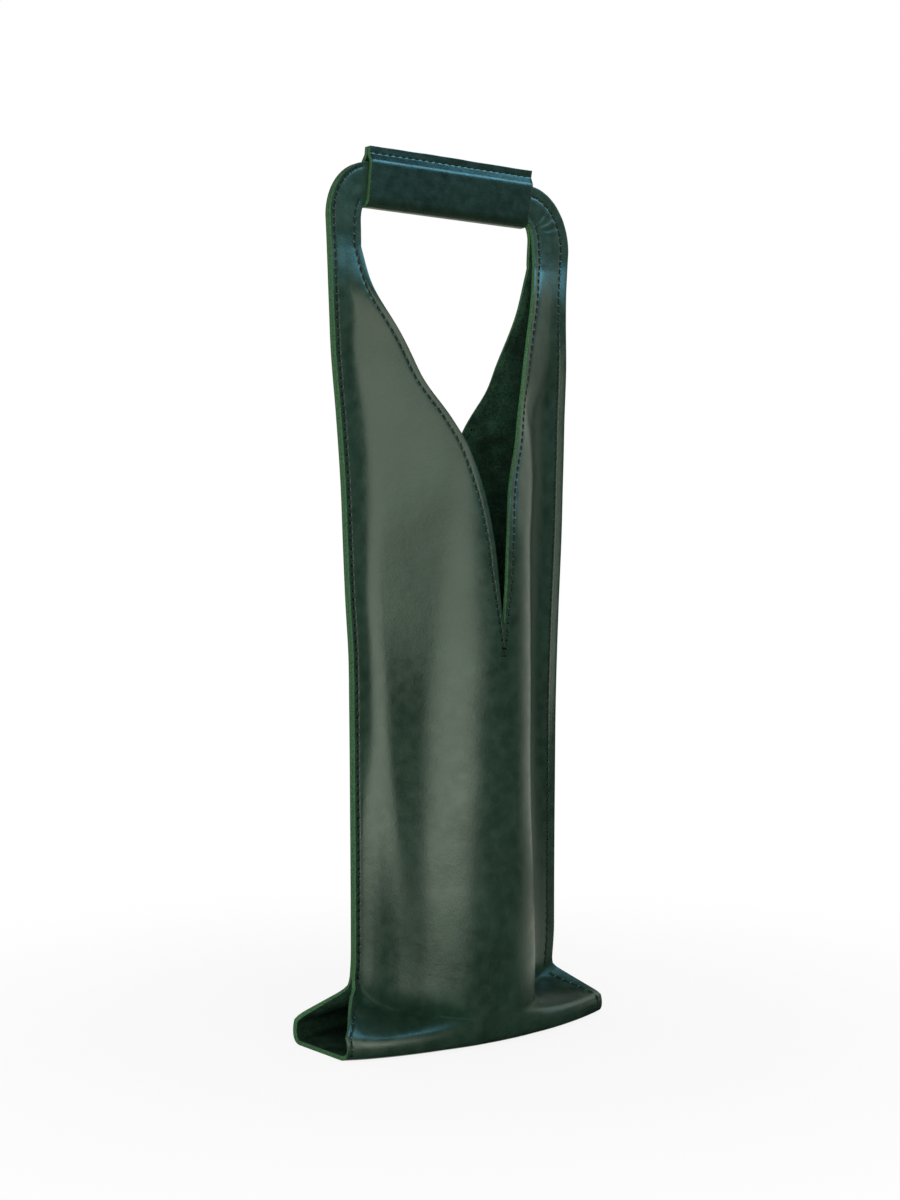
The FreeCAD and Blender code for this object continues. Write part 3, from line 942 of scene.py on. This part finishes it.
def waxedHide(name, hide, sewn):
    material, tree = startMaterial(name)
    dark, plain, pale, paintedHoleShade = (colour(hide[key]) for key in ("dark", "colour", "pale", "hole"))
    place = add(tree, "TexCoord", output="Object")
    scales = [1 / (hide[key] * mm) for key in ("cloudSize", "mottleSize", "grainSize")]
    cloud = add(tree, "TexNoise", {"Vector": place, "Scale": scales[0], "Detail": hide["cloudDetail"]})
    mottle = add(tree, "TexNoise", {"Vector": place, "Scale": scales[1], "Detail": hide["mottleDetail"]})
    grain = add(tree, "TexVoronoi", {"Vector": place, "Scale": scales[2]})
    cloudy = add(tree, "MapRange", [cloud, *hide["cloudSpread"]], **smooth)
    face = add(tree, "Mix", {0: cloudy, 6: dark, 7: plain}, 2, data_type="RGBA")
    handled = add(tree, "MapRange", [mottle, *hide["paleSpread"]])
    worn = add(tree, "Math", [handled, hide["paleShare"]], operation="MULTIPLY")
    face = add(tree, "Mix", {0: worn, 6: face, 7: pale}, 2, data_type="RGBA")
    rough = add(tree, "MapRange", [mottle, *hide["roughSpread"], *hide["rough"]])
    relief = add(tree, "Math", [grain, hide["grainShare"], mottle], operation="MULTIPLY_ADD")
    shine = hide["shine"][0]
    if sewn:
        # needle holes where two stitches meet, in a shallow pressed line; the holes are painted near black,
        # painted shade for the shade inside them
        run = add(tree, "Attribute", output="Fac", attribute_name="seamRun")
        offset = add(tree, "Attribute", output="Fac", attribute_name="seamOffset")
        nearest = add(tree, "Math", [run], operation="ROUND")
        gap = add(tree, "Math", [run, nearest], operation="SUBTRACT")
        along = add(tree, "Math", [gap, seam["pitch"]], operation="MULTIPLY")
        spot = add(tree, "CombineXYZ", [along, offset])
        away = add(tree, "VectorMath", [spot], "Value", operation="LENGTH")
        hole = add(tree, "MapRange", [away, *hide["holeEdge"], 1.0, 0.0], **smooth)
        # painted shade: the needle holes darkened towards near black
        face = add(tree, "Mix", {0: hole, 6: face, 7: paintedHoleShade}, 2, data_type="RGBA")
        aside = add(tree, "Math", [offset], operation="ABSOLUTE")
        limits = [*hide["pressEdge"], hide["pressDepth"], 0.0]
        press = add(tree, "MapRange", [aside, *limits], **smooth)
        dent = add(tree, "Math", [hole, hide["holeDepth"], press], operation="MULTIPLY_ADD")
        relief = add(tree, "Math", [relief, dent], operation="ADD")
        dull = add(tree, "Attribute", output="Fac", attribute_name="dull")
        shine = add(tree, "MapRange", [dull, 0.0, 1.0, *hide["shine"]])
    strength, depth = hide["relief"]
    normal = add(tree, "Bump", {"Strength": strength, "Distance": depth * mm, "Height": relief})
    shader = add(tree, "BsdfPrincipled", {
        "Base Color": face,
        "Roughness": rough,
        "IOR": hide["ior"],
        "Specular IOR Level": shine,
        "Normal": normal,
    })
    add(tree, "OutputMaterial", [shader])
    return material


# Split flesh side: matt, napped and a little darker than the grain; its colours are partly its own dark
# green and partly painted shade for the shaded inside of the pouch
suede = {
    "size": 0.9,  # coarser than real nap, which the render can't show
    "detail": 4.0,
    "patch": 9.0,
    "patchDetail": 3.0,
    "spread": (0.12, 0.42),
    # partly painted shade: darker than the suede's own colour, for the shade inside the pouch
    "colours": ("#101f18", "#294537"),
    "relief": (0.6, 0.3),  # strength, and depth in mm
    "surface": {"Roughness": 0.95, "IOR": 1.3, "Specular IOR Level": 0.2},
}
# Raw cut edge: the dyed fibres of the hide show brighter and rougher than its faces
cutEdge = {
    "size": 0.7,  # coarser than real fibres, which the render can't show
    "detail": 4.0,
    "spread": (0.3, 0.7),
    "colours": ("#2c4a34", "#4c7350"),
    "relief": (0.7, 0.3),
    "surface": {"Roughness": 0.9, "IOR": 1.3, "Specular IOR Level": 0.2},
}
# Waxed polyester thread, twisted from plies: dark, with a dull shine
waxedThread = {
    "size": 0.8,  # coarser than real plies, which the render can't show
    "detail": 2.0,
    "spread": (0.3, 0.7),
    "colours": ("#121c16", "#29382f"),
    "relief": (0.5, 0.15),
    "surface": {"Roughness": 0.9, "Specular IOR Level": 0.06},
}


def fibrous(name, look):
    material, tree = startMaterial(name)
    place = add(tree, "TexCoord", output="Object")
    scale = 1 / (look["size"] * mm)
    fibre = add(tree, "TexNoise", {"Vector": place, "Scale": scale, "Detail": look["detail"]})
    tone = fibre
    if "patch" in look:
        scale = 1 / (look["patch"] * mm)
        patch = add(tree, "TexNoise", {"Vector": place, "Scale": scale, "Detail": look["patchDetail"]})
        tone = add(tree, "Math", [fibre, patch], operation="MULTIPLY")
    share = add(tree, "MapRange", [tone, *look["spread"]])
    dark, bright = (colour(code) for code in look["colours"])
    face = add(tree, "Mix", {0: share, 6: dark, 7: bright}, 2, data_type="RGBA")
    strength, depth = look["relief"]
    normal = add(tree, "Bump", {"Strength": strength, "Distance": depth * mm, "Height": fibre})
    shader = add(tree, "BsdfPrincipled", {"Base Color": face, "Normal": normal, **look["surface"]})
    add(tree, "OutputMaterial", [shader])
    return material


stripGrain = waxedHide("waxed_hide", stripHide, True)
gripGrain = waxedHide("waxed_hide_handled", gripHide, False)
flesh = fibrous("split_suede", suede)
rawEdge = fibrous("raw_cut_edge", cutEdge)
thread = fibrous("waxed_polyester_thread", waxedThread)

stripLeather = buildStrip()
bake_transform(stripLeather)
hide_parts("front_panel", "back_panel", "base_panel", "front_handle_loop", "back_handle_loop")

gripLeather = buildGrip()
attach(gripLeather, "handle")
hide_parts("grip_wrap")

stitch = buildStitch()
for half, word in ((left, "left"), (right, "right")):
    lines = [paths["side", side, half] for side in (front, back)]
    piece = sew(word + "_side_stitching", placesOn(lines))
    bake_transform(piece)
    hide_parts(word + "_side_seam_thread", word + "_handle_thread")
    lines = [paths["flare", side, half] for side in (front, back)]
    piece = sew(word + "_flare_stitching", placesOn(lines))
    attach(piece, "pouch")
    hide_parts(word + "_flare_thread")
    piece = sew(word + "_bar_tack_stitching", tackPlaces(front, half) + tackPlaces(back, half))
    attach(piece, "pouch")
    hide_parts(word + "_bar_tack")
for side, word in ((front, "front"), (back, "back")):
    lines = [paths["mouth", side, half] for half in (left, right)]
    inside = [(points - outs * strip["thickness"], -outs) for points, outs in lines]
    piece = sew(word + "_mouth_stitching", placesOn(lines + inside))
    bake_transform(piece)
    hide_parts(word + "_mouth_thread", word + "_strap_thread")

piece = sew("grip_stitching", placesOn([finLine(side) for side in (front, back)]))
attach(piece, "handle")
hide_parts("grip_seam_thread")
bpy.data.objects.remove(stitch)
print("seams sewn")


# Studio: a white floor and back, cards in front, up on the right and on the floor, dark cloth round them
studio = {
    "key": {
        "azimuth": -31,
        "rise": -33,
        "away": 1.01,
        "size": (0.86, 0.9),
        "radiance": 3.0,
        "tint": "#f5ffea",
        "aim": (0, 0, 0.93),
    },
    "low": {
        "azimuth": -34,
        "rise": 0,
        "away": 0.38,
        "size": (0.53, 0.104),
        "radiance": 2.6,
        "tint": "#f5ffea",
        "aim": (0, 0, 0.074),
        "only": "mirrored",
    },
    "sky": {
        "azimuth": 44,
        "rise": 43,
        "away": 1.4,
        "size": (0.95, 0.58),
        "radiance": 11.0,
        "tint": "#86d8f5",
        "aim": (0, 0, 0.25),
        "only": "mirrored",
    },
    "side": {
        "azimuth": 82,
        "rise": 22,
        "away": 1.5,
        "size": (1.0, 0.6),
        "radiance": 1.3,
        "tint": "#f5ffea",
        "aim": (0, 0, 0.26),
        "only": "mirrored",
    },
    "ground": {
        "azimuth": 0,
        "rise": -90,
        "away": 0.497,
        "size": (0.24, 0.24),
        "radiance": 0.7,
        "tint": "#f5ffea",
        "aim": (0.23, 0.0, 0.5),
        "only": "mirrored",
    },
    "rim": {
        "azimuth": 128,
        "rise": 3,
        "away": 1.5,
        "size": (1.0, 0.7),
        "radiance": 1.6,
        "tint": "#ffffff",
        "aim": (0, 0, 0.2),
        "only": "scattered",
    },
    "ambient": 0.55,
    "floor": {
        "size": 12,
        "height": -0.0001,
        "colour": "#f4f4f4",
        "near": (0.1, 0.4),  # where its own white grows to full
        "white": (0.86, 1.0),
    },
    "cloth": {
        "away": 2.6,
        "height": 4.0,
        "low": 0.001,
        "start": 0.03,
        "sides": 90,
        "colour": "#1a1d1c",
        "gap": 151,  # where the cloth thins out, and how far it does
        "gapEdges": (0.09, 0.64),
        "gapHeight": (0.8, 1.3),
        "gapStart": (0.35, 0.7),
        "thinnest": 0.75,
        "tint": "#f5ffea",
    },
}


def buildLamp(card):
    turn, rise = math.radians(card["azimuth"]), math.radians(card["rise"])
    way = Vector((math.sin(turn) * math.cos(rise), -math.cos(turn) * math.cos(rise), math.sin(rise)))
    place = Vector(card["aim"]) + way * card["away"]
    clearSelection()
    bpy.ops.object.light_add(type="AREA", location=place, rotation=way.to_track_quat("Z", "Y").to_euler())
    lamp = bpy.context.object
    lamp.data.shape = "RECTANGLE"
    lamp.data.size, lamp.data.size_y = card["size"]
    lamp.data.energy = card["radiance"] * math.pi * card["size"][0] * card["size"][1]
    lamp.data.color = colour(card["tint"])[:3]
    lamp.visible_camera = False
    lamp.visible_diffuse = card.get("only") != "mirrored"
    lamp.visible_glossy = card.get("only") != "scattered"


def directView(tree):
    # 1 for what is seen by eye, in a reflection or through the cloth, 0 for what only lights
    seen = add(tree, "LightPath", output="Is Camera Ray")
    for ray in ("Is Glossy Ray", "Is Transmission Ray"):
        seen = add(tree, "Math", [seen, add(tree, "LightPath", output=ray)], operation="MAXIMUM")
    return seen


def buildWorld():
    # white for the eye and for reflections, dimmer as a light
    world = bpy.data.worlds.new("white_studio")
    bpy.context.scene.world = world
    world.use_nodes = True
    tree = world.node_tree
    tree.nodes.clear()
    level = add(tree, "MapRange", [directView(tree), 0.0, 1.0, studio["ambient"], 1.0])
    sky = add(tree, "Background", {"Color": (1, 1, 1, 1), "Strength": level})
    add(tree, "OutputWorld", [sky])


def buildFloor():
    # white paper: mostly its own white to the eye, so the shadow stays faint
    laid = studio["floor"]
    clearSelection()
    bpy.ops.mesh.primitive_plane_add(size=laid["size"], location=(0, 0, laid["height"]))
    floor = bpy.context.object
    floor.name = "floor"
    material, tree = startMaterial("white_paper")
    place = add(tree, "TexCoord", output="Object")
    away = add(tree, "VectorMath", [place], "Value", operation="LENGTH")
    own = add(tree, "MapRange", [away, *laid["near"], *laid["white"]], **smooth)
    share = add(tree, "Math", [directView(tree), own], operation="MULTIPLY")
    paper = add(tree, "BsdfDiffuse", {"Color": colour(laid["colour"])})
    glow = add(tree, "Emission", {"Color": (1, 1, 1, 1), "Strength": 1.0})
    both = add(tree, "MixShader", [share, paper, glow])
    add(tree, "OutputMaterial", [both])
    floor.data.materials.append(material)


def buildCloth():
    # dark cloth hung round and laid on the floor, thin at the back, only for reflections
    hung = studio["cloth"]
    clearSelection()
    bpy.ops.mesh.primitive_cylinder_add(vertices=hung["sides"], radius=hung["away"], depth=hung["height"],
                                        end_fill_type="NGON", location=(0, 0, hung["height"] / 2))
    cloth = bpy.context.object
    cloth.name = "dark_cloth"
    bpy.ops.object.transform_apply(location=True)
    selectFaces(cloth, lambda face: face.normal.z < -0.5)
    bpy.ops.mesh.inset(thickness=hung["away"] - hung["start"])
    bpy.ops.mesh.delete(type="FACE")
    bpy.ops.mesh.select_all(action="SELECT")
    bpy.ops.transform.translate(value=(0, 0, hung["low"]))
    bpy.ops.object.mode_set(mode="OBJECT")
    material, tree = startMaterial("black_molton")
    place = add(tree, "TexCoord", output="Object")
    level = add(tree, "VectorMath", [place, (1, 1, 0)], operation="MULTIPLY")
    way = add(tree, "VectorMath", [level], operation="NORMALIZE")
    gap = math.radians(hung["gap"])
    toGap = (math.sin(gap), -math.cos(gap), 0)
    facing = add(tree, "VectorMath", [way, toGap], "Value", operation="DOT_PRODUCT")
    limits = [*hung["gapEdges"], 0.0, hung["thinnest"]]
    clear = add(tree, "MapRange", [facing, *limits], **smooth)
    up = add(tree, "SeparateXYZ", [place], "Z")
    under = add(tree, "MapRange", [up, *hung["gapHeight"], 1.0, 0.0], **smooth)
    away = add(tree, "VectorMath", [level], "Value", operation="LENGTH")
    beyond = add(tree, "MapRange", [away, *hung["gapStart"]], **smooth)
    for share in (under, beyond):
        clear = add(tree, "Math", [clear, share], operation="MULTIPLY")
    dark = add(tree, "BsdfDiffuse", {"Color": colour(hung["colour"])})
    nothing = add(tree, "BsdfTransparent", {"Color": colour(hung["tint"])})
    both = add(tree, "MixShader", [clear, dark, nothing])
    add(tree, "OutputMaterial", [both])
    cloth.data.materials.append(material)
    cloth.visible_camera = False
    cloth.visible_diffuse = False
    cloth.visible_shadow = False


for name in ("key", "low", "sky", "side", "ground", "rim"):
    buildLamp(studio[name])
buildWorld()
buildFloor()
buildCloth()
bpy.context.scene.view_settings.view_transform = "Standard"
print("studio lit")


# Camera: the view of the photograph, in mm, degrees and pixels
view = {
    "azimuth": 38,
    "distance": 880,
    "height": 221.4,
    "aside": 1.15,
    "tilt": 1.53,
    "focal": 1911,
    "rows": 1200,
    "sensor": 36,
}


def buildCamera():
    azimuth, distance, height = math.radians(view["azimuth"]), view["distance"] * mm, view["height"] * mm
    place = Vector((-distance * math.sin(azimuth), -distance * math.cos(azimuth), height))
    place -= view["aside"] * mm * Vector((math.cos(azimuth), -math.sin(azimuth), 0))
    bpy.ops.object.camera_add(location=place, rotation=(math.radians(90 - view["tilt"]), 0, -azimuth))
    camera = bpy.context.object
    camera.data.sensor_fit = "VERTICAL"
    camera.data.sensor_height = view["sensor"]
    camera.data.lens = view["sensor"] * view["focal"] / view["rows"]
    bpy.context.scene.camera = camera


buildCamera()
